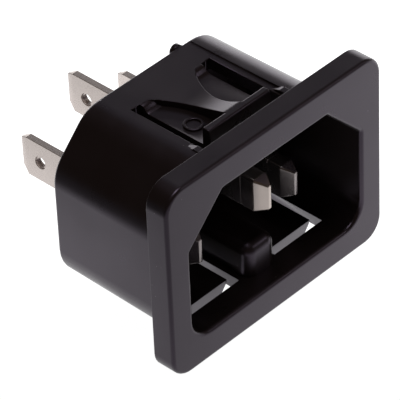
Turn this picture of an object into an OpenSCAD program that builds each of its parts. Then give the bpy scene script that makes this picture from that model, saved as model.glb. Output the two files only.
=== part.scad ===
// Snap-in appliance inlet: one moulded housing and three plated contact blades.
// Frame: origin in the middle of the flange's rear seat face, X right as seen
// from the mouth, Y to the rear, Z up with the earth pin in the upper row.

/* [Flange] */
// Width of the flange
flange_w = 30.9; // [29.6:0.1:40]
// Height of the flange
flange_h = 23.1; // [21.8:0.1:32]
// Thickness of the flange, front face to seat face
flange_t = 2.65; // [1.6:0.05:4]
// Corner radius of the flange seen from the front
flange_corner_r = 2.5; // [1.4:0.1:4]
// Radius of the flange's front edge
flange_edge_r = 0.4; // [0.2:0.05:0.9]

/* [Body] */
// Width of the body at the seat face
body_w = 27.1; // [26.6:0.1:28]
// Height of the body at the seat face
body_h = 19.5; // [19.1:0.1:20.4]
// Length of the body behind the seat face
body_len = 14.7; // [14:0.1:22]
// Leg of the 45 degree chamfers at the two top corners
body_chamfer = 5.1; // [4.4:0.1:5.6]
// Blend radius between the top wall and the chamfer
body_top_r = 1.6; // [1:0.1:2.5]
// Blend radius between the chamfer and the side wall
body_side_r = 2.2; // [1:0.1:3]
// Radius of the two bottom corners
body_low_r = 4.8; // [3:0.1:5]
// How far each wall leans in from the seat to the rear
body_lean = 0.15; // [0:0.01:0.3]
// Radius of the rear edges
body_rear_r = 0.45; // [0.2:0.05:0.7]
// Width of the shallow channel in the top wall, with the latch window in it
channel_w = 12.8; // [12.2:0.1:15]
// Depth of the channel at the seat face; the wall leans in towards its floor
channel_d = 0.25; // [0.2:0.01:0.35]
// Diameter of the trimmed gate on the rear face, near its top edge
gate_d = 1.5; // [0.8:0.1:2]
// Distance of the gate from the middle of the body
gate_x = 4.9; // [3:0.1:6]
// Distance of the gate's middle below the body's top wall
gate_drop = 0.85; // [0.8:0.05:1.4]
// How far the gate stands out behind the rear face
gate_len = 0.55; // [0.2:0.05:0.8]

/* [Socket] */
// Width of the socket
cavity_w = 24.8; // [24:0.1:25]
// Height of the socket
cavity_h = 16.2; // [15.6:0.1:16.6]
// Depth of the socket from the flange's front face
cavity_depth = 15.6; // [14.5:0.1:16.2]
// Leg of the 45 degree chamfers at the socket's two top corners
cavity_chamfer = 4.9; // [4.4:0.1:5.6]
// Radius of the socket's two bottom corners
cavity_low_r = 2.5; // [1.5:0.1:3.4]
// Radius of the socket's other corners
cavity_corner_r = 0.5; // [0.3:0.1:1]
// Radius of the mouth's rim
mouth_r = 0.45; // [0.2:0.05:0.7]

/* [Key rib] */
// Width of the key rib on the socket's floor
key_w = 4.2; // [3:0.1:4.6]
// Height of the key rib above the socket's floor
key_h = 3.8; // [2:0.1:3.9]
// Distance from the flange's front face to the rib's end
key_back = 2.25; // [1.5:0.05:5]
// Radius of the rib's top edges and its rounded end
key_r = 1.2; // [0.5:0.1:1.4]

/* [Latches] */
// Distance from the seat face to the front edge of the latch windows
window_front = 0.45; // [0.3:0.05:0.8]
// Distance from the seat face to the rear edge of the latch windows
window_rear = 11.4; // [10.8:0.1:12.4]
// Distance from the seat face to the catch: the thickest panel that it holds
catch_y = 2.15; // [1.6:0.05:2.6]
// Thickness of the catch lip
catch_t = 0.85; // [0.6:0.05:1.2]
// Height of the catch lip above the body's wall at the seat face
catch_h = 1.05; // [0.6:0.05:1.3]
// Width of the top tongue
top_tongue_w = 8.8; // [7:0.1:9.6]
// Slot on each side of the top tongue
top_slot = 1.2; // [0.6:0.05:1.3]
// Width of each bottom tongue
low_tongue_w = 6.05; // [5:0.05:6.2]
// Slot on each side of a bottom tongue
low_slot = 0.55; // [0.3:0.05:0.6]
// Distance from the middle of the body to the middle of a bottom tongue
low_tongue_x = 6.22; // [6.2:0.01:6.5]
// How far a bottom tongue's inner face lies outside the socket's floor
low_tongue_in = 0.2; // [0:0.05:0.4]
// How far each side of the top lip leans in towards its edge
top_lip_lean = 0.05; // [0:0.05:0.8]
// How far each side of a bottom lip leans in towards its edge
low_lip_lean = 0.6; // [0:0.05:0.9]
// Thickness of the tongue's thin part
tongue_t = 0.7; // [0.5:0.05:0.9]
// Width of the wedge at its waist
waist_w = 1.95; // [1.4:0.05:3]
// Radius of the hollow in each side of the wedge
bite_r = 9.4; // [8:0.1:12]
// Distance from the seat face to the waist of the wedge
waist_y = 5; // [4.5:0.1:6]
// Where the wedge starts to rise towards the catch
rise_y = 8.5; // [7.6:0.1:8.8]
// Radius of the two arcs in which a tongue's root runs down from the wall
root_r = 0.85; // [0.8:0.05:1.1]
// Diameter of the ejector's ring on the top tongue
mark_d = 2.15; // [1.4:0.05:2.3]
// Width of the ring
mark_wall = 0.32; // [0.2:0.02:0.4]
// Distance of the ring from the middle of the top tongue
mark_x = 2.75; // [2.4:0.05:2.8]
// Distance from the seat face to the middle of the ring
mark_y = 5.75; // [5:0.05:7]
// Height of the ring above the tongue
mark_h = 0.12; // [0.05:0.01:0.2]

/* [Centring ribs] */
// Distance from a centring rib's side to the latch window beside it
centring_gap = 0.2; // [0.1:0.05:0.3]
// Width of each centring rib
centring_w = 0.8; // [0.6:0.05:1.2]
// Height of each centring rib above the body's wall at the seat face
centring_h = 0.1; // [0.05:0.01:0.2]
// Length of the rib's flat from the seat face
centring_len = 2.2; // [1.2:0.1:3]
// Length of the rib's ramp
centring_ramp = 1; // [0.5:0.05:2]

/* [Contacts] */
// Distance between the line and the neutral pin
pin_pitch = 14; // [13.8:0.05:14.2]
// Height of the earth pin's row above the other two
row_gap = 4; // [4:0.05:4.4]
// Height of the middle of the two rows
row_mid_z = -0.12; // [-0.3:0.01:0.3]
// Thickness of a pin
pin_t = 2; // [1.8:0.05:2.2]
// Height of a pin's section
pin_h = 4; // [3.8:0.05:4.1]
// Distance from the flange's front face to the earth pin's tip
earth_back = 1.05; // [0.8:0.05:2]
// How far the other two pins stay behind the earth pin
earth_lead = 2.9; // [2:0.1:4]
// Length of the bevelled tip
tip_len = 1.3; // [0.8:0.05:2]
// Thickness of the tip's end
tip_t = 0.4; // [0.2:0.05:1]
// Height of the tip's end
tip_h = 2.8; // [2:0.1:3.4]
// Bevel along a pin's four long edges
pin_bevel = 0.18; // [0.05:0.01:0.3]
// Width of a solder and push-on tab
tab_w = 4.8; // [4.6:0.05:5]
// Thickness of a tab
tab_t = 0.8; // [0.7:0.05:0.9]
// Length of a tab behind the terminal block
tab_len = 8.35; // [6:0.05:10]
// Diameter of the hole in a tab
tab_hole_d = 1.45; // [1.2:0.05:1.6]
// Distance from the tab's end to the middle of its hole
tab_hole_back = 2.75; // [2.2:0.05:3.5]
// Length of the bevel at the tab's end
tab_lead = 0.9; // [0.5:0.05:1.2]
// Height of the cut at the tab's upper corner
tab_cut_top = 0.45; // [0.2:0.05:1]
// Height of the cut at the tab's lower corner
tab_cut_low = 0.9; // [0.2:0.05:1.2]
// Thickness of the tab's end after the bevel
tab_end_t = 0.4; // [0.2:0.05:0.6]

/* [Terminal block] */
// Width of the raised block round the tabs
block_w = 19.4; // [18.6:0.1:20.5]
// Height of the block
block_h = 11.6; // [11:0.1:12.4]
// Length of the block behind the body
block_len = 3; // [1.5:0.1:5]
// Leg of the block's two top chamfers
block_chamfer = 3.8; // [2:0.1:4.2]
// Corner radius of the block
block_r = 1; // [0.5:0.1:1.5]
// Clearance between a contact and its slot, on each side
slot_fit = 0.04; // [0.02:0.01:0.1]

/* [Hidden] */
$fn = 48;

plastic = "#2a282c";
plating = "#d6cdc6";

// Derived places
front_y = -flange_t;
cavity_floor_y = front_y + cavity_depth;
block_rear_y = body_len + block_len;
tab_end_y = block_rear_y + tab_len;
floor_z = -cavity_h / 2;
channel_z = body_h / 2 - channel_d;
low_wall_z = body_h / 2 - body_lean;
rib_z = body_h / 2 + centring_h;
lip_z = body_h / 2 + catch_h;
earth_z = row_mid_z + row_gap / 2;
line_z = row_mid_z - row_gap / 2;
earth_tip_y = front_y + earth_back;
line_tip_y = earth_tip_y + earth_lead;
// A pin ends half way through the wall and block; the tab goes on from there
pin_root_y = cavity_floor_y + (block_rear_y - cavity_floor_y) / 2;
top_window_w = top_tongue_w + 2 * top_slot;
low_window_w = low_tongue_w + 2 * low_slot;
// The top ribs stand outside the one wide window, the bottom ribs between two
top_rib_x = top_window_w / 2 + centring_gap + centring_w / 2;
low_rib_x = low_tongue_x - low_window_w / 2 - centring_gap - centring_w / 2;
// Cuts reach this far past a face, and joined solids this far into each other
over = 0.5;
// Thickness of the thin slices that a hull is drawn over
slice = 0.01;
// Points along a round stretch of an outline, and steps round an edge
arc_steps = 8;
edge_steps = 4;
mouth_steps = 4;
// Sides of the large and the small cylinders
large_fn = 180;
small_fn = 32;

function arc_points(c, r, from, to) =
    [for (i = [0:arc_steps]) let (a = from + (to - from) * i / arc_steps) c + r * [cos(a), sin(a)]];

// The inlet's outline: a rectangle with two 45 degree top corners, grown by d
function shield(w, h, chamfer, top_r, side_r, low_r, d = 0) =
    let (
        x = w / 2 + d,
        z = h / 2 + d,
        plane = w / 2 + h / 2 - chamfer + d * sqrt(2),
        rt = top_r + d,
        rs = side_r + d,
        rl = low_r + d,
        side_c = [x - rs, plane - (x - rs) - rs * sqrt(2)],
        top_c = [plane - (z - rt) - rt * sqrt(2), z - rt],
        low_c = [x - rl, -z + rl],
        right = concat(
            arc_points(low_c, rl, -90, 0),
            arc_points(side_c, rs, 0, 45),
            arc_points(top_c, rt, 45, 90)))
    concat(right, [for (i = [len(right) - 1:-1:0]) [-right[i][0], right[i][1]]]);

function body_outline(d) =
    shield(body_w, body_h, body_chamfer, body_top_r, body_side_r, body_low_r, d);

function cavity_outline(d) =
    shield(cavity_w, cavity_h, cavity_chamfer, cavity_corner_r, cavity_corner_r, cavity_low_r, d);

function plate_outline(w, h, r, d = 0) =
    let (x = w / 2 + d, z = h / 2 + d, c = r + d)
    concat(
        arc_points([x - c, -z + c], c, -90, 0),
        arc_points([x - c, z - c], c, 0, 90),
        arc_points([-x + c, z - c], c, 90, 180),
        arc_points([-x + c, -z + c], c, 180, 270));

// Extrudes an outline drawn in X and Z from y0 to y1
module along_y(y0, y1) {
    translate([0, y1, 0]) rotate([90, 0, 0]) linear_extrude(y1 - y0) children();
}

// Extrudes an outline drawn in Y and Z to half its width on each side of x = 0
module across_x(w) {
    translate([-w / 2, 0, 0]) rotate([90, 0, 90]) linear_extrude(w) children();
}

module flange() {
    along_y(front_y + flange_edge_r, 0)
        polygon(plate_outline(flange_w, flange_h, flange_corner_r));
    hull()
        for (i = [0:edge_steps]) {
            a = 90 * i / edge_steps;
            y = front_y + flange_edge_r * (1 - cos(a));
            d = -flange_edge_r * (1 - sin(a));
            along_y(y, y + slice) polygon(plate_outline(flange_w, flange_h, flange_corner_r, d));
        }
}

// The outside of the body, leaning in towards a rounded rear edge
module body_block() {
    hull() {
        along_y(-over, -over + slice) polygon(body_outline(0));
        along_y(0, slice) polygon(body_outline(0));
        for (i = [0:edge_steps]) {
            a = 90 * i / edge_steps;
            y = body_len - body_rear_r * (1 - cos(a));
            d = -body_lean - body_rear_r * (1 - sin(a));
            along_y(y - slice, y) polygon(body_outline(d));
        }
    }
}

// The shallow channel along the top wall
module channel() {
    translate([-channel_w / 2, 0, channel_z]) cube([channel_w, body_len, body_h]);
}

// The two ribs that centre the body in the panel's cut-out, on the top wall
// outside the latch window; on the bottom wall they stand between two windows
module centring_ribs(rib_x) {
    z0 = cavity_h / 2 + over;
    for (s = [-1, 1])
        translate([s * rib_x, 0, 0])
            across_x(centring_w)
                polygon([
                    [0, z0],
                    [centring_len + centring_ramp, z0],
                    [centring_len + centring_ramp, channel_z],
                    [centring_len, rib_z],
                    [0, rib_z]]);
}

// The rounded rim of the mouth, cut in short straight steps
module mouth_rim() {
    for (i = [0:mouth_steps - 1]) {
        a0 = 90 * i / mouth_steps;
        a1 = 90 * (i + 1) / mouth_steps;
        y0 = front_y + mouth_r * (1 - sin(a0));
        y1 = front_y + mouth_r * (1 - sin(a1));
        hull() {
            along_y(y0 - slice, y0) polygon(cavity_outline(mouth_r * (1 - cos(a0))));
            along_y(y1 - slice, y1) polygon(cavity_outline(mouth_r * (1 - cos(a1))));
        }
    }
}

// A soft step from [y, z] towards the front and down: one arc out, one arc in
function soft_step(y, z, drop) =
    let (
        r = max(root_r, drop / 2),
        a = acos(1 - drop / (2 * r)),
        run = 2 * r * sin(a),
        lower = arc_points([y - run, z - drop + r], r, a - 90, -90))
    concat(
        arc_points([y, z - r], r, 90, 90 + a),
        [for (i = [1:arc_steps]) lower[i]]);

// A tongue from the side: it runs down from the wall at z_out to its level
module tongue_side(front, z_in, z_level, z_out) {
    root_y = window_rear + over;
    polygon(concat(
        [[front, z_in], [root_y, z_in], [root_y, z_out]],
        soft_step(window_rear, z_out, z_out - z_level),
        [[front, z_level]]));
}

// One catch tongue, pointing up. Its thin part has its inner face at z_in. Its
// wedge is level with the wall at z_out, and its hollow rise ends at the lip.
module tongue(w, z_in, z_out, lean) {
    thin_z = z_in + tongue_t;
    wedge_y = catch_y + catch_t / 2;
    rise_run = rise_y - catch_y - catch_t;
    rise_h = lip_z - z_out;
    rise_r = (rise_run * rise_run + rise_h * rise_h) / (2 * rise_h);
    across_x(w) tongue_side(catch_y, z_in, thin_z, z_out);
    difference() {
        union() {
            translate([-w / 2, rise_y, z_in])
                cube([w, window_rear + over - rise_y, z_out - z_in]);
            translate([-w / 2, wedge_y, z_in]) cube([w, rise_y - wedge_y, lip_z - z_in]);
        }
        translate([-w, rise_y, z_out + rise_r])
            rotate([0, 90, 0]) cylinder(r = rise_r, h = 2 * w, $fn = large_fn);
        for (s = [-1, 1])
            translate([s * (waist_w / 2 + bite_r), waist_y, thin_z])
                cylinder(r = bite_r, h = lip_z, $fn = large_fn);
    }
    intersection() {
        along_y(catch_y, catch_y + catch_t)
            polygon([
                [-w / 2, z_in],
                [w / 2, z_in],
                [w / 2, thin_z],
                [w / 2 - lean, lip_z],
                [lean - w / 2, lip_z],
                [-w / 2, thin_z]]);
        across_x(2 * w) lip_profile(z_in);
    }
}

// The catch lip from the side, with its two top edges rounded
module lip_profile(z_in) {
    r = catch_t / 4;
    polygon(concat(
        [[catch_y, z_in], [catch_y + catch_t, z_in]],
        arc_points([catch_y + catch_t - r, lip_z - r], r, 0, 90),
        arc_points([catch_y + r, lip_z - r], r, 90, 180)));
}

// The ring that a worn ejector sleeve leaves on the top tongue's thin part
module ejector_ring() {
    z = cavity_h / 2 + tongue_t;
    translate([-mark_x, mark_y, z])
        difference() {
            translate([0, 0, -mark_h]) cylinder(d = mark_d, h = 2 * mark_h);
            cylinder(d = mark_d - 2 * mark_wall, h = tongue_t);
        }
}

module window(w) {
    translate([-w / 2, window_front, 0]) cube([w, window_rear - window_front, body_h]);
}

// The rounded rib that keys the connector on the socket's floor
module key_rib() {
    end_y = front_y + key_back;
    cx = key_w / 2 - key_r;
    top_z = floor_z + key_h - key_r;
    hull()
        for (s = [-1, 1]) {
            translate([s * cx, end_y + key_r, top_z]) sphere(r = key_r, $fn = small_fn);
            translate([s * cx, end_y + key_r, floor_z - over])
                cylinder(r = key_r, h = key_r, $fn = small_fn);
            translate([s * cx, cavity_floor_y, top_z])
                rotate([-90, 0, 0]) cylinder(r = key_r, h = over, $fn = small_fn);
            translate([s * cx - key_r, cavity_floor_y, floor_z - over])
                cube([2 * key_r, over, key_r]);
        }
}

module terminal_block() {
    along_y(body_len - over, block_rear_y)
        polygon(shield(block_w, block_h, block_chamfer, block_r, block_r, block_r));
}

// What is left of the gate that the housing was moulded through
module gate() {
    translate([gate_x, body_len - over, body_h / 2 - gate_drop])
        rotate([-90, 0, 0]) cylinder(d = gate_d, h = gate_len + over);
}

// The way of one contact through the wall and the block
module contact_slot(x, z) {
    pin = [pin_t, pin_h];
    tab = [tab_t, tab_w];
    translate([x, 0, z]) {
        slot_cut(pin, cavity_floor_y - over, pin_root_y);
        slot_cut(tab, cavity_floor_y - over, block_rear_y + over);
    }
}

module slot_cut(section, y0, y1) {
    w = section[0] + 2 * slot_fit;
    h = section[1] + 2 * slot_fit;
    translate([-w / 2, y0, -h / 2]) cube([w, y1 - y0, h]);
}

module housing() {
    color(plastic) {
        difference() {
            union() {
                flange();
                difference() {
                    union() {
                        body_block();
                        gate();
                    }
                    channel();
                }
                centring_ribs(top_rib_x);
                mirror([0, 0, 1]) centring_ribs(low_rib_x);
                terminal_block();
            }
            along_y(front_y - over, cavity_floor_y) polygon(cavity_outline(0));
            mouth_rim();
            window(top_window_w);
            for (s = [-1, 1])
                translate([s * low_tongue_x, 0, 0]) mirror([0, 0, 1]) window(low_window_w);
            contact_slot(-pin_pitch / 2, line_z);
            contact_slot(pin_pitch / 2, line_z);
            contact_slot(0, earth_z);
        }
        tongue(top_tongue_w, cavity_h / 2, channel_z, top_lip_lean);
        ejector_ring();
        for (s = [-1, 1])
            translate([s * low_tongue_x, 0, 0])
                mirror([0, 0, 1])
                    tongue(low_tongue_w, cavity_h / 2 + low_tongue_in, low_wall_z, low_lip_lean);
        key_rib();
    }
}

// One contact: a bevelled pin in front and a flat tab behind, in one strip
module contact(x, z, tip_y) {
    color(plating)
        translate([x, 0, z]) {
            along_y(tip_y + tip_len, pin_root_y) pin_section(pin_t, pin_h);
            hull() {
                along_y(tip_y + tip_len, tip_y + tip_len + slice) pin_section(pin_t, pin_h);
                along_y(tip_y, tip_y + slice) pin_section(tip_t, tip_h);
            }
            tab();
        }
}

module pin_section(t, h) {
    b = min(pin_bevel, t / 4);
    polygon([
        [-t / 2 + b, -h / 2], [t / 2 - b, -h / 2],
        [t / 2, -h / 2 + b], [t / 2, h / 2 - b],
        [t / 2 - b, h / 2], [-t / 2 + b, h / 2],
        [-t / 2, h / 2 - b], [-t / 2, -h / 2 + b]]);
}

module tab() {
    y0 = pin_root_y - over;
    y1 = tab_end_y;
    difference() {
        intersection() {
            across_x(tab_t)
                polygon([
                    [y0, -tab_w / 2],
                    [y1 - tab_lead, -tab_w / 2],
                    [y1, -tab_w / 2 + tab_cut_low],
                    [y1, tab_w / 2 - tab_cut_top],
                    [y1 - tab_lead, tab_w / 2],
                    [y0, tab_w / 2]]);
            translate([0, 0, -tab_w])
                linear_extrude(2 * tab_w)
                    polygon([
                        [-tab_t / 2, y0],
                        [tab_t / 2, y0],
                        [tab_t / 2, y1 - tab_lead],
                        [tab_end_t / 2, y1],
                        [-tab_end_t / 2, y1],
                        [-tab_t / 2, y1 - tab_lead]]);
        }
        translate([-tab_t, y1 - tab_hole_back, 0])
            rotate([0, 90, 0]) cylinder(d = tab_hole_d, h = 2 * tab_t);
    }
}

module line_contact() { contact(-pin_pitch / 2, line_z, line_tip_y); }
module neutral_contact() { contact(pin_pitch / 2, line_z, line_tip_y); }
module earth_contact() { contact(0, earth_z, earth_tip_y); }

housing();
line_contact();
neutral_contact();
earth_contact();
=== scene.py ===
# %% [markdown]
# # A snap-in power inlet
# The object is a mains inlet: one black moulded housing and three plated contact blades.
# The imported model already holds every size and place, so each piece here is built round
# it and nothing is fitted by eye. This first cell loads that model and notes its box.

# %% Load the frame
import bmesh
import bpy
import math
from mathutils import Matrix, Vector


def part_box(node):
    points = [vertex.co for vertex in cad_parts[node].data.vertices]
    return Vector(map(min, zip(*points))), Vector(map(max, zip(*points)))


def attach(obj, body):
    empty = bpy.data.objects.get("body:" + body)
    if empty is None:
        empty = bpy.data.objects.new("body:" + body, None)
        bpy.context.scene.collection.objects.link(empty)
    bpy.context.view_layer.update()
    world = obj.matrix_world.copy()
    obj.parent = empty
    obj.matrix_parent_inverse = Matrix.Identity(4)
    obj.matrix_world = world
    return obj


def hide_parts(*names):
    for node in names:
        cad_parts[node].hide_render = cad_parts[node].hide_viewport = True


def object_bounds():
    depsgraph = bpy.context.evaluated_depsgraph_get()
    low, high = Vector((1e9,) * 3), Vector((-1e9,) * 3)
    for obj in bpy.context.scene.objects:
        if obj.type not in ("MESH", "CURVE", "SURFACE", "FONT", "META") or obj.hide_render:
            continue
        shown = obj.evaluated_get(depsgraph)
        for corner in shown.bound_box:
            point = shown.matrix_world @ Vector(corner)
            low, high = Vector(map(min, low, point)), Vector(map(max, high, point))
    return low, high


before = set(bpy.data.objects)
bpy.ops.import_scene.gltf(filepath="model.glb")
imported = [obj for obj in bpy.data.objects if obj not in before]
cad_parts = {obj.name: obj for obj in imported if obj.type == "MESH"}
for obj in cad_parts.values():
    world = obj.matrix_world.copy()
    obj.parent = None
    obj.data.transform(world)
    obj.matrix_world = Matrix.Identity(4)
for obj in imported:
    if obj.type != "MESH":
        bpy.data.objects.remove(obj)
cad_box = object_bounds()
MM = 0.001
scene = bpy.context.scene
print("nodes:", sorted(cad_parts))

# %% [markdown]
# ## Camera
# The photograph is a long-lens product shot from the front left and above. A camera far
# away with a long lens gives its nearly parallel edges. The object sits off the middle of
# the picture, so the camera is aimed a little to one side of it and rolled slightly, as
# the photographer held it. That needs no lens shift.

# %% Place the camera
CAMERA_AZIMUTH = math.radians(-46.51)
CAMERA_ELEVATION = math.radians(38.90)
CAMERA_ROLL = math.radians(-1.80)
CAMERA_DISTANCE = 336 * MM
SENSOR = 36.0
PICTURE_SIDE = 400
FOCAL_PIXELS = 3408
# The frame's origin appears this far right of the picture's middle, and below it
ORIGIN_RIGHT_PIXELS = 58.3
ORIGIN_LOW_PIXELS = 5.8


def camera_axes():
    """The camera's right, up and back directions before it is aimed off the origin."""
    flat = math.cos(CAMERA_ELEVATION)
    back = Vector((math.sin(CAMERA_AZIMUTH) * flat, -math.cos(CAMERA_AZIMUTH) * flat,
                   math.sin(CAMERA_ELEVATION)))
    level = Vector((math.cos(CAMERA_AZIMUTH), math.sin(CAMERA_AZIMUTH), 0))
    upright = back.cross(level)
    right = level * math.cos(CAMERA_ROLL) + upright * math.sin(CAMERA_ROLL)
    up = upright * math.cos(CAMERA_ROLL) - level * math.sin(CAMERA_ROLL)
    return right, up, back


def make_camera():
    right, up, back = camera_axes()
    aim = right * (-ORIGIN_RIGHT_PIXELS / FOCAL_PIXELS) + up * (ORIGIN_LOW_PIXELS / FOCAL_PIXELS)
    behind = (back - aim).normalized()
    side = up.cross(behind).normalized()
    top = behind.cross(side)
    turn = Matrix((side, top, behind)).transposed().to_4x4()
    data = bpy.data.cameras.new("camera")
    data.sensor_width = SENSOR
    data.lens = SENSOR * FOCAL_PIXELS / PICTURE_SIDE
    data.clip_start = 0.01
    camera = bpy.data.objects.new("camera", data)
    camera.matrix_world = Matrix.Translation(back * CAMERA_DISTANCE) @ turn
    scene.collection.objects.link(camera)
    scene.camera = camera
    print("lens", round(data.lens, 1), "mm at", CAMERA_DISTANCE, "m")


make_camera()

# %% [markdown]
# ## Light and floor
# Black plastic shows almost no colour of its own: what the eye reads is the reflection of
# the room. In the photograph the faces that mirror the table are the light ones, the faces
# that mirror the air above are dark, and the catch, which mirrors the wall behind, shines.
# So the floor is a white light table whose glow is painted: brighter towards the rear right,
# as light falling from behind there, and darker towards the left rear, a painted shade. The
# room above it is dim, and one pale screen stands behind on the right.

# %% Build the studio
FLOOR_SIDE = 6.0
FLOOR_GLOW = 1.01
# Painted light: the glow grows by up to this share along the slope towards the rear right,
# as if lit from behind there; the slope is in shares a metre
FLOOR_RANGE = 0.52
FLOOR_SLOPE = (25, 30, 0)
# Painted shade: towards the left rear the glow fades between these distances, as if a dark
# card stood there
FADE_WAY = (-0.8, 0.6, 0)
FADE_START = 31 * MM
FADE_END = 56 * MM
FADE_LOW = 0.12
FLOOR_WHITE = 0.03
ROOM_TINT = (1.0, 0.74, 0.55, 1)
ROOM_LIGHT = 0.062


def floor_glow(nodes, links):
    """The floor's glow is painted brighter towards the rear right, as if lit from behind there, and
    painted darker towards the left rear. The camera sees all of it as white.
    """
    place = nodes.new("ShaderNodeTexCoord").outputs["Object"]

    def slope(way, start, end, low, high):
        along = nodes.new("ShaderNodeVectorMath")
        along.operation = "DOT_PRODUCT"
        along.inputs[1].default_value = way
        links.new(place, along.inputs[0])
        level = nodes.new("ShaderNodeMapRange")
        level.inputs["From Min"].default_value = start
        level.inputs["From Max"].default_value = end
        level.inputs["To Min"].default_value = low
        level.inputs["To Max"].default_value = high
        links.new(along.outputs["Value"], level.inputs["Value"])
        return level.outputs["Result"]

    product = nodes.new("ShaderNodeMath")
    product.operation = "MULTIPLY"
    # Painted light and shade: the glow rises towards the rear right and fades towards the left rear
    links.new(slope(FLOOR_SLOPE, -1, 1, FLOOR_GLOW * (1 - FLOOR_RANGE),
                    FLOOR_GLOW * (1 + FLOOR_RANGE)), product.inputs[0])
    links.new(slope(FADE_WAY, FADE_START, FADE_END, 1, FADE_LOW), product.inputs[1])
    white = nodes.new("ShaderNodeMath")
    white.operation = "MAXIMUM"
    links.new(product.outputs["Value"], white.inputs[0])
    links.new(nodes.new("ShaderNodeLightPath").outputs["Is Camera Ray"], white.inputs[1])
    return white.outputs["Value"]


def make_floor():
    low = cad_box[0].z
    mesh = bpy.data.meshes.new("pale_floor")
    half = FLOOR_SIDE / 2
    corners = [(-half, -half, low), (half, -half, low), (half, half, low), (-half, half, low)]
    mesh.from_pydata(corners, [], [(0, 1, 2, 3)])
    floor = bpy.data.objects.new("pale_floor", mesh)
    scene.collection.objects.link(floor)
    finish = bpy.data.materials.new("light_table")
    finish.use_nodes = True
    shader = finish.node_tree.nodes["Principled BSDF"]
    shader.inputs["Base Color"].default_value = (FLOOR_WHITE, FLOOR_WHITE, FLOOR_WHITE, 1)
    shader.inputs["Roughness"].default_value = 1
    shader.inputs["Specular IOR Level"].default_value = 0
    shader.inputs["Emission Color"].default_value = (1, 1, 1, 1)
    glow = floor_glow(finish.node_tree.nodes, finish.node_tree.links)
    finish.node_tree.links.new(glow, shader.inputs["Emission Strength"])
    mesh.materials.append(finish)


def direction(azimuth, elevation):
    """Azimuth 0 is in front of the socket, 90 on its right, as seen from the front."""
    a, e = math.radians(azimuth), math.radians(elevation)
    return Vector((math.sin(a) * math.cos(e), -math.cos(a) * math.cos(e), math.sin(e)))


def make_screen(name, azimuth, elevation, distance, width, height, brightness,
                colour=(1, 1, 1)):
    """A soft rectangular light that faces the object. Brightness 1 is as bright as white."""
    data = bpy.data.lights.new(name, "AREA")
    data.shape = "RECTANGLE"
    data.size = width
    data.size_y = height
    data.energy = brightness * math.pi * width * height
    data.color = colour
    screen = bpy.data.objects.new(name, data)
    way = direction(azimuth, elevation)
    screen.location = way * distance
    screen.rotation_euler = way.to_track_quat("Z", "Y").to_euler()
    scene.collection.objects.link(screen)


def make_room():
    world = bpy.data.worlds.new("dim_room")
    scene.world = world
    world.use_nodes = True
    sky = world.node_tree.nodes["Background"]
    sky.inputs["Color"].default_value = ROOM_TINT
    sky.inputs["Strength"].default_value = ROOM_LIGHT


make_floor()
make_room()
make_screen("rear_screen", 135, 8, 1.0, 1.4, 0.45, 1.8)
make_screen("rear_soft_box", 133, 42, 1.0, 0.55, 0.4, 0.18, (0.7, 0.82, 1.0))
make_screen("top_soft_box", 0, 89, 1.0, 0.5, 0.5, 3.5)
make_screen("front_strip", 43, 31, 1.0, 0.35, 0.2, 1.6)
scene.view_settings.view_transform = "Standard"
print("floor at", round(cad_box[0].z / MM, 2), "mm")

# %% [markdown]
# ## Moulded plastic
# The housing is a glass-filled, flame-proofed nylon or polyester, black right through. Its
# skin copies the tool: satin, with a fine spark-eroded grain. The grain is a bump of small
# noise, and a slow second noise varies the gloss, as resin flow does.

# %% Shader helpers


def new_material(name):
    material = bpy.data.materials.new(name)
    material.use_nodes = True
    nodes = material.node_tree.nodes
    return material, nodes, material.node_tree.links, nodes["Principled BSDF"]


def in_group(group, kind, **values):
    """A node in the group with values set on its sockets by name."""
    node = group.nodes.new(kind)
    for socket, value in values.items():
        node.inputs[socket.replace("_", " ")].default_value = value
    return node


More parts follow.
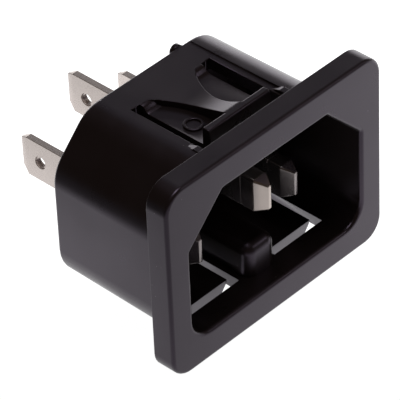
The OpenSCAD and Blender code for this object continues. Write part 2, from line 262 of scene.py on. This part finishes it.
def make_surface_group():
    """Grain, uneven gloss and dust, measured in the object's own metres."""
    group = bpy.data.node_groups.new("handled_surface", "ShaderNodeTree")
    sockets = group.interface
    sockets.new_socket("Place", in_out="INPUT", socket_type="NodeSocketVector")
    sockets.new_socket("Stretch", in_out="INPUT", socket_type="NodeSocketVector")
    for name in ["Grain Scale", "Cloud Scale", "Gloss Low", "Gloss High", "Dust Size"]:
        sockets.new_socket(name, in_out="INPUT", socket_type="NodeSocketFloat")
    for name in ["Height", "Roughness", "Cloud", "Dust"]:
        sockets.new_socket(name, in_out="OUTPUT", socket_type="NodeSocketFloat")
    links = group.links
    given = group.nodes.new("NodeGroupInput").outputs
    result = group.nodes.new("NodeGroupOutput").inputs
    # The grain, stretched along a rolled sheet or even on a moulding
    stretch = group.nodes.new("ShaderNodeVectorMath")
    stretch.operation = "MULTIPLY"
    links.new(given["Place"], stretch.inputs[0])
    links.new(given["Stretch"], stretch.inputs[1])
    grain = in_group(group, "ShaderNodeTexNoise", Detail=2)
    links.new(stretch.outputs["Vector"], grain.inputs["Vector"])
    links.new(given["Grain Scale"], grain.inputs["Scale"])
    links.new(grain.outputs["Fac"], result["Height"])
    # Slow clouds, which vary the gloss
    cloud = in_group(group, "ShaderNodeTexNoise", Detail=3)
    links.new(given["Place"], cloud.inputs["Vector"])
    links.new(given["Cloud Scale"], cloud.inputs["Scale"])
    links.new(cloud.outputs["Fac"], result["Cloud"])
    gloss = in_group(group, "ShaderNodeMapRange", From_Min=0.3, From_Max=0.7)
    links.new(cloud.outputs["Fac"], gloss.inputs["Value"])
    links.new(given["Gloss Low"], gloss.inputs["To Min"])
    links.new(given["Gloss High"], gloss.inputs["To Max"])
    links.new(gloss.outputs["Result"], result["Roughness"])
    # Dust: a speck in the middle of a few cells
    cells = in_group(group, "ShaderNodeTexVoronoi", Scale=DUST_CELLS)
    links.new(given["Place"], cells.inputs["Vector"])
    near = group.nodes.new("ShaderNodeMath")
    near.operation = "LESS_THAN"
    links.new(cells.outputs["Distance"], near.inputs[0])
    links.new(given["Dust Size"], near.inputs[1])
    pick = in_group(group, "ShaderNodeSeparateColor")
    links.new(cells.outputs["Color"], pick.inputs["Color"])
    few = group.nodes.new("ShaderNodeMath")
    few.operation = "LESS_THAN"
    few.inputs[1].default_value = DUST_SHARE
    links.new(pick.outputs["Red"], few.inputs[0])
    both = group.nodes.new("ShaderNodeMath")
    both.operation = "MULTIPLY"
    links.new(near.outputs["Value"], both.inputs[0])
    links.new(few.outputs["Value"], both.inputs[1])
    links.new(both.outputs["Value"], result["Dust"])
    return group


DUST_CELLS = 900
DUST_SHARE = 0.12
surface_group = make_surface_group()
print("made", surface_group.name)


def place_surface(nodes, links, **values):
    """The shared group in a material, fed with the object's own place."""
    surface = nodes.new("ShaderNodeGroup")
    surface.node_tree = surface_group
    links.new(nodes.new("ShaderNodeTexCoord").outputs["Object"], surface.inputs["Place"])
    for socket, value in values.items():
        surface.inputs[socket.replace("_", " ")].default_value = value
    return surface.outputs


def add_bump(nodes, links, height, strength, distance, shader):
    bump = nodes.new("ShaderNodeBump")
    bump.inputs["Strength"].default_value = strength
    bump.inputs["Distance"].default_value = distance
    links.new(height, bump.inputs["Height"])
    links.new(bump.outputs["Normal"], shader.inputs["Normal"])


# %% Make the plastic


def mix_colours(nodes, first, second):
    mix = nodes.new("ShaderNodeMix")
    mix.data_type = "RGBA"
    if first:
        mix.inputs["A"].default_value = first
    mix.inputs["B"].default_value = second
    return mix


def make_plastic():
    material, nodes, links, shader = new_material("housing_plastic_satin")
    surface = place_surface(nodes, links, Stretch=(1, 1, 1), Grain_Scale=5200,
                            Cloud_Scale=160, Gloss_Low=0.26, Gloss_High=0.36, Dust_Size=0.05)
    add_bump(nodes, links, surface["Height"], 0.16, 0.02 * MM, shader)
    links.new(surface["Roughness"], shader.inputs["Roughness"])
    tint = mix_colours(nodes, (0.0090, 0.0060, 0.0047, 1), (0.0110, 0.0076, 0.0060, 1))
    links.new(surface["Cloud"], tint.inputs["Factor"])
    dusty = mix_colours(nodes, None, (0.12, 0.11, 0.11, 1))
    links.new(tint.outputs["Result"], dusty.inputs["A"])
    links.new(surface["Dust"], dusty.inputs["Factor"])
    links.new(dusty.outputs["Result"], shader.inputs["Base Color"])
    shader.inputs["IOR"].default_value = 1.55
    shader.inputs["Specular Tint"].default_value = (0.93, 0.76, 1.04, 1)
    return material


plastic = make_plastic()
print("made", plastic.name)

# %% Make the plating


BLADE_FRONT_Y = -3 * MM
BLADE_REAR_Y = 27 * MM
# Along the blade at y in mm: the colour there and what it is. The tabs have the plating's
# own colour. The pins are painted darker, a painted shade of the socket, and the earth
# pin's tip lighter, a painted highlight
BLADE_COLOURS_AND_PAINTED_LIGHT = [(-1.2, (0.56, 0.49, 0.455, 1), "earth pin's tip, with a painted highlight"),
               (0.4, (0.30, 0.27, 0.27, 1), "pins, painted with the socket's shade"),
               (6, (0.30, 0.27, 0.27, 1), "pins, painted with the socket's shade"),
               (16, (0.63, 0.56, 0.53, 1), "tabs")]
TAB_METALLIC = 0.5


def make_plating():
    material, nodes, links, shader = new_material("contact_nickel")
    surface = place_surface(nodes, links, Stretch=(1, 0.06, 1), Grain_Scale=9000,
                            Cloud_Scale=500, Gloss_Low=0.2, Gloss_High=0.3, Dust_Size=0)
    add_bump(nodes, links, surface["Height"], 0.2, 0.01 * MM, shader)
    links.new(surface["Roughness"], shader.inputs["Roughness"])
    split = nodes.new("ShaderNodeSeparateXYZ")
    links.new(nodes.new("ShaderNodeTexCoord").outputs["Object"], split.inputs["Vector"])
    along = nodes.new("ShaderNodeMapRange")
    along.inputs["From Min"].default_value = BLADE_FRONT_Y
    along.inputs["From Max"].default_value = BLADE_REAR_Y
    links.new(split.outputs["Y"], along.inputs["Value"])
    # The ramp paints the socket's shade on the pins and a highlight on the earth pin's tip
    tint = nodes.new("ShaderNodeValToRGB")
    tint.color_ramp.interpolation = "EASE"
    stops = tint.color_ramp.elements
    while len(stops) < len(BLADE_COLOURS_AND_PAINTED_LIGHT):
        stops.new(0.5)
    for stop, (y, colour, _) in zip(stops, BLADE_COLOURS_AND_PAINTED_LIGHT):
        stop.position = (y * MM - BLADE_FRONT_Y) / (BLADE_REAR_Y - BLADE_FRONT_Y)
        stop.color = colour
    links.new(along.outputs["Result"], tint.inputs["Fac"])
    links.new(tint.outputs["Color"], shader.inputs["Base Color"])
    matt = nodes.new("ShaderNodeMapRange")
    matt.inputs["From Min"].default_value = 6 * MM
    matt.inputs["From Max"].default_value = 16 * MM
    matt.inputs["To Min"].default_value = 0.95
    matt.inputs["To Max"].default_value = TAB_METALLIC
    links.new(split.outputs["Y"], matt.inputs["Value"])
    links.new(matt.outputs["Result"], shader.inputs["Metallic"])
    return material


plating = make_plating()
print("made", plating.name)

# %% [markdown]
# ## The housing
# The moulding is one piece, so it stays one mesh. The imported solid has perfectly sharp
# edges, which no moulding has: a tool's edges are always a little round and catch a line of
# light. The solid's own faces are cleaned to large flat ones, and a bevel then rounds each
# sharp edge by a tenth of a millimetre.

# %% Round the edges
EDGE_ROUND = 0.08 * MM
SHARP_ANGLE = 30


def link(name, mesh):
    piece = bpy.data.objects.new(name, mesh)
    scene.collection.objects.link(piece)
    return piece


def reach(face, edge):
    """How far the face reaches from one of its edges."""
    start = edge.verts[0].co
    along = (edge.verts[1].co - start).normalized()
    return max((v.co - start - along * (v.co - start).dot(along)).length for v in face.verts)


def weigh_edges(shape, width, angle):
    """Gives each outer edge that is sharper than the angle the width that has room there."""
    weight = shape.edges.layers.float.new("bevel_weight_edge")
    for edge in shape.edges:
        if edge.calc_face_angle(0) < math.radians(angle):
            continue
        if not edge.is_convex:
            edge.smooth = False
            continue
        if all(abs(abs(v.co.x) - CHANNEL_HALF_WIDE) < NEAR and v.co.z > CHANNEL_Z for v in edge.verts):
            edge.smooth = False
            continue
        room = min(reach(face, edge) for face in edge.link_faces)
        edge[weight] = min(1, 0.4 * room / width)


def round_edges(piece, width):
    """Rounds the weighed edges and keeps the flat faces flat in the light."""
    bevel = piece.modifiers.new("round_edges", "BEVEL")
    bevel.width = width
    bevel.segments = 3
    bevel.limit_method = "WEIGHT"
    bevel.use_clamp_overlap = False
    even = piece.modifiers.new("even_faces", "WEIGHTED_NORMAL")
    even.weight = 100
    even.keep_sharp = True


# %% [markdown]
# ## What use and the mould leave on it
# Seen close, the body's long corners are rounder than the imported model has them, its rear
# edge is crisp, and each catch leans a little, so that it draws the panel tight. The points
# of the mesh are moved to match: a point on a corner keeps its place round the curve and
# goes to the wider curve, and the points on the rear edge and the gate mark move back.

# %% Measures of the body
BODY_HALF_WIDE = 13.55 * MM
BODY_HALF_HIGH = 9.75 * MM
BODY_CHAMFER = 5.1 * MM
BODY_LONG = 14.7 * MM
BODY_LEAN = 0.15 * MM
REAR_ROUND = 0.45 * MM
# Radius of each long corner, as packed and as seen, and the turn it covers in degrees
LONG_CORNERS = [("low", 4.8 * MM, 4.5 * MM, -90, 0),
                ("side", 2.2 * MM, 4.6 * MM, 0, 45),
                ("top", 1.6 * MM, 4.3 * MM, 45, 90)]
REAR_SHIFT = 0.36 * MM
GATE_LOW = 8 * MM
RING_X = -2.75 * MM
RING_Y = 5.75 * MM
RING_OUTER = 1.075 * MM
RING_FOOT = 8.8 * MM
RING_RISE = 0.08 * MM
RAMP_TOP_X = (5.7 * MM, 6.7 * MM)
RAMP_LOW_X = (1.6 * MM, 2.5 * MM)
RAMP_START = 2.25 * MM
RAMP_END = 3.15 * MM
CHANNEL_HALF_WIDE = 6.4 * MM
CHANNEL_Z = 9.5 * MM
NEAR = 0.03 * MM
LIP_Y = 2.15 * MM
LIP_TOP = 10.8 * MM
LIP_LEAN = math.tan(math.radians(13))

# %% Move the points


def corner_centre(name, r):
    """The centre of a long corner's round in X and Z, right of the middle."""
    plane = BODY_HALF_WIDE + BODY_HALF_HIGH - BODY_CHAMFER
    x, z = BODY_HALF_WIDE - r, BODY_HALF_HIGH - r
    if name == "low":
        return Vector((x, -z))
    if name == "side":
        return Vector((x, plane - x - r * math.sqrt(2)))
    return Vector((plane - z - r * math.sqrt(2), z))


def body_spot(spot):
    """The outline's direction out at a spot, how far out the spot is, and its round."""
    for name, r, seen, start, end in LONG_CORNERS:
        way = spot - corner_centre(name, r)
        turn = math.degrees(math.atan2(way.y, way.x))
        if way.length > r / 2 and start - 0.5 < turn < end + 0.5:
            return way.normalized(), way.length - r, (name, seen)
    slope = Vector((1, 1)).normalized()
    chamfer = (spot.x + spot.y - BODY_HALF_WIDE - BODY_HALF_HIGH + BODY_CHAMFER) / math.sqrt(2)
    sides = [(spot.x - BODY_HALF_WIDE, Vector((1, 0))), (spot.y - BODY_HALF_HIGH, Vector((0, 1))),
             (-spot.y - BODY_HALF_HIGH, Vector((0, -1))), (chamfer, slope)]
    depth, out = max(sides, key=lambda side: side[0])
    return out, depth, None


def skin_depth(y):
    """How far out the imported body's skin is at y: it leans in and rounds off at the rear."""
    flat = BODY_LONG - REAR_ROUND
    if y <= flat:
        return -BODY_LEAN * y / flat
    return -BODY_LEAN - REAR_ROUND + math.sqrt(max(REAR_ROUND ** 2 - (y - flat) ** 2, 0))


def reshape_body(shape):
    """Widens the long corners and brings the rear edge and the gate mark back."""
    moved = 0
    for vert in shape.verts:
        x, y, z = vert.co
        if y < -NEAR:
            continue
        out, depth, corner = body_spot(Vector((abs(x), z)))
        if corner and y < BODY_LONG + NEAR and abs(depth - skin_depth(y)) < NEAR:
            name, seen = corner
            spot = corner_centre(name, seen) + out * (seen + depth)
            vert.co.x, vert.co.z = math.copysign(spot.x, x), spot.y
            moved += 1
        at_rear = abs(y - BODY_LONG + REAR_ROUND / 2) < REAR_ROUND / 2 + NEAR
        at_gate = z > GATE_LOW and BODY_LONG < y < BODY_LONG + MM
        if at_rear or at_gate:
            vert.co.y += REAR_SHIFT
    print("points moved on the long corners:", moved)


def raise_ring(shape):
    """The ejector's ring on the upper tongue stands a little prouder."""
    for vert in shape.verts:
        away = Vector((vert.co.x - RING_X, vert.co.y - RING_Y)).length
        if away < RING_OUTER + NEAR and vert.co.z > RING_FOOT + NEAR and vert.co.z < CHANNEL_Z:
            vert.co.z += RING_RISE


def crease_ramps(shape):
    """The small ramps behind the centring ribs stay flat to their edges."""
    for face in shape.faces:
        x, y, z = face.calc_center_median()
        start, end = RAMP_TOP_X if z > 0 else RAMP_LOW_X
        if start < abs(x) < end and RAMP_START < y < RAMP_END and abs(z) > CHANNEL_Z:
            for edge in face.edges:
                edge.smooth = False


def lean_lips(shape):
    """Brings the foot of each catch lip forward."""
    for vert in shape.verts:
        x, y, z = abs(vert.co.x), vert.co.y, vert.co.z
        on_tongue = x < 4.5 * MM if z > 0 else 3.1 * MM < x < 9.3 * MM
        if on_tongue and abs(z) > 8 * MM and LIP_Y - NEAR < y < LIP_Y + 0.22 * MM:
            vert.co.y -= (LIP_TOP - abs(z)) * LIP_LEAN


# %% Make the housing


def make_housing():
    shape = bmesh.new()
    shape.from_mesh(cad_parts["housing"].data)
    bmesh.ops.remove_doubles(shape, verts=shape.verts, dist=0.012 * MM)
    reshape_body(shape)
    lean_lips(shape)
    raise_ring(shape)
    bmesh.ops.dissolve_limit(shape, angle_limit=math.radians(1), verts=shape.verts,
                             edges=shape.edges)
    for face in shape.faces:
        face.smooth = True
    crease_ramps(shape)
    weigh_edges(shape, EDGE_ROUND, SHARP_ANGLE)
    mesh = bpy.data.meshes.new("inlet_housing")
    shape.to_mesh(mesh)
    shape.free()
    housing = link("inlet_housing", mesh)
    mesh.materials.append(plastic)
    round_edges(housing, EDGE_ROUND)
    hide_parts("housing")
    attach(housing, "root")
    print("housing faces:", len(mesh.polygons))


make_housing()

# %% [markdown]
# ## The contacts
# Each contact is a plated blade: a stout pin with a four-sided bevelled nose in front, and
# a thin push-on tab with a hole behind. Both are skinned from a few corner points, because
# a stamped blade is all flats, and the same small bevel as before rounds their edges.

# %% Skin the pins
PIN_THICK = 2 * MM
PIN_HIGH = 4 * MM
PIN_CORNER = 0.2 * MM
NOSE_LONG = 1.3 * MM
NOSE_THICK = 0.4 * MM
NOSE_HIGH = 2.8 * MM
PIN_ROOT_Y = 15.3 * MM
COIN_LINE_BACK = 3.0 * MM
COIN_LINE_WIDE = 0.12 * MM
COIN_LINE_DEEP = 0.03 * MM
BLADE_ROUND = 0.07 * MM
BLADE_ANGLE = 15


def pin_ring(thick, high, corner, y, centre):
    """A rectangle with cut corners across the pin at y."""
    ring = []
    for sx, sz in [(1, 1), (-1, 1), (-1, -1), (1, -1)]:
        across = Vector((sx * (thick / 2 - corner), 0, sz * high / 2))
        upright = Vector((sx * thick / 2, 0, sz * (high / 2 - corner)))
        pair = [across, upright] if sx != sz else [upright, across]
        ring += [Vector((centre.x, y, centre.z)) + p for p in pair]
    return ring


def skin(shape, rings):
    """Skins the rings one to the next and closes both ends."""
    loops = [[shape.verts.new(p) for p in ring] for ring in rings]
    for a, b in zip(loops, loops[1:]):
        for i in range(len(a)):
            j = (i + 1) % len(a)
            shape.faces.new((a[i], a[j], b[j], b[i]))
    shape.faces.new(loops[0][::-1])
    shape.faces.new(loops[-1])


def skin_pin(shape, low, high):
    centre = (low + high) / 2
    neck_y = low.y + NOSE_LONG
    line_y = low.y + COIN_LINE_BACK
    groove = 2 * COIN_LINE_DEEP
    skin(shape, [
        pin_ring(NOSE_THICK, NOSE_HIGH, NOSE_THICK / 8, low.y, centre),
        pin_ring(PIN_THICK, PIN_HIGH, PIN_CORNER, neck_y, centre),
        pin_ring(PIN_THICK, PIN_HIGH, PIN_CORNER, line_y - COIN_LINE_WIDE / 2, centre),
        pin_ring(PIN_THICK - groove, PIN_HIGH - groove, PIN_CORNER, line_y, centre),
        pin_ring(PIN_THICK, PIN_HIGH, PIN_CORNER, line_y + COIN_LINE_WIDE / 2, centre),
        pin_ring(PIN_THICK, PIN_HIGH, PIN_CORNER, PIN_ROOT_Y, centre)])


# %% Skin the tabs
TAB_THICK = 0.8 * MM
TAB_END_THICK = 0.4 * MM
TAB_HIGH = 4.8 * MM
TAB_LEAD = 0.9 * MM
TAB_CUT_TOP = 0.45 * MM
TAB_CUT_LOW = 0.9 * MM
TAB_HOLE_BACK = 2.75 * MM
TAB_HOLE_R = 0.725 * MM
HOLE_STEPS = 24


def tab_sides(low, high):
    """The tab from the side as three flat outlines of (y, z, half thickness) points."""
    end = high.y
    lead = end - TAB_LEAD
    root = PIN_ROOT_Y
    middle = (low.z + high.z) / 2
    half = TAB_HIGH / 2
    thick = TAB_THICK / 2
    thin = TAB_END_THICK / 2
    hole_y = end - TAB_HOLE_BACK
    arc = [math.pi * i / HOLE_STEPS for i in range(HOLE_STEPS + 1)]
    over = [(hole_y - TAB_HOLE_R * math.cos(a), middle + TAB_HOLE_R * math.sin(a), thick)
            for a in arc]
    under = [(y, 2 * middle - z, t) for y, z, t in over]
    upper = [(root, middle, thick)] + over + [
        (lead, middle, thick), (lead, middle + half, thick), (root, middle + half, thick)]
    lower = [(root, middle, thick)] + under + [
        (lead, middle, thick), (lead, middle - half, thick), (root, middle - half, thick)]
    point = [(lead, middle, thick), (lead, middle - half, thick),
             (end, middle - half + TAB_CUT_LOW, thin), (end, middle + half - TAB_CUT_TOP, thin),
             (lead, middle + half, thick)]
    return [upper, lower, point]


def skin_tab(shape, low, high):
    x = (low.x + high.x) / 2
    corners = {}

    def corner(y, z, half, side):
        key = (round(y / MM, 4), round(z / MM, 4), side)
        if key not in corners:
            corners[key] = shape.verts.new((x + side * half, y, z))
        return corners[key]

    walls = {}
    for outline in tab_sides(low, high):
        for side in (-1, 1):
            shape.faces.new([corner(y, z, half, side) for y, z, half in outline])
        for a, b in zip(outline, outline[1:] + outline[:1]):
            edge = frozenset((a[:2], b[:2]))
            walls[edge] = None if edge in walls else (a, b)
    for a, b in filter(None, walls.values()):
        shape.faces.new([corner(*a, -1), corner(*b, -1), corner(*b, 1), corner(*a, 1)])


# %% Put each contact together


def make_contact(node, name):
    low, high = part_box(node)
    shape = bmesh.new()
    skin_pin(shape, low, high)
    skin_tab(shape, low, high)
    bmesh.ops.recalc_face_normals(shape, faces=shape.faces)
    for face in shape.faces:
        face.smooth = True
    weigh_edges(shape, BLADE_ROUND, BLADE_ANGLE)
    mesh = bpy.data.meshes.new(name)
    shape.to_mesh(mesh)
    shape.free()
    mesh.materials.append(plating)
    contact = link(name, mesh)
    round_edges(contact, BLADE_ROUND)
    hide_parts(node)
    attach(contact, "root")
    print(name, "faces:", len(mesh.polygons))


make_contact("line_contact", "line_blade")
make_contact("neutral_contact", "neutral_blade")
make_contact("earth_contact", "earth_blade")
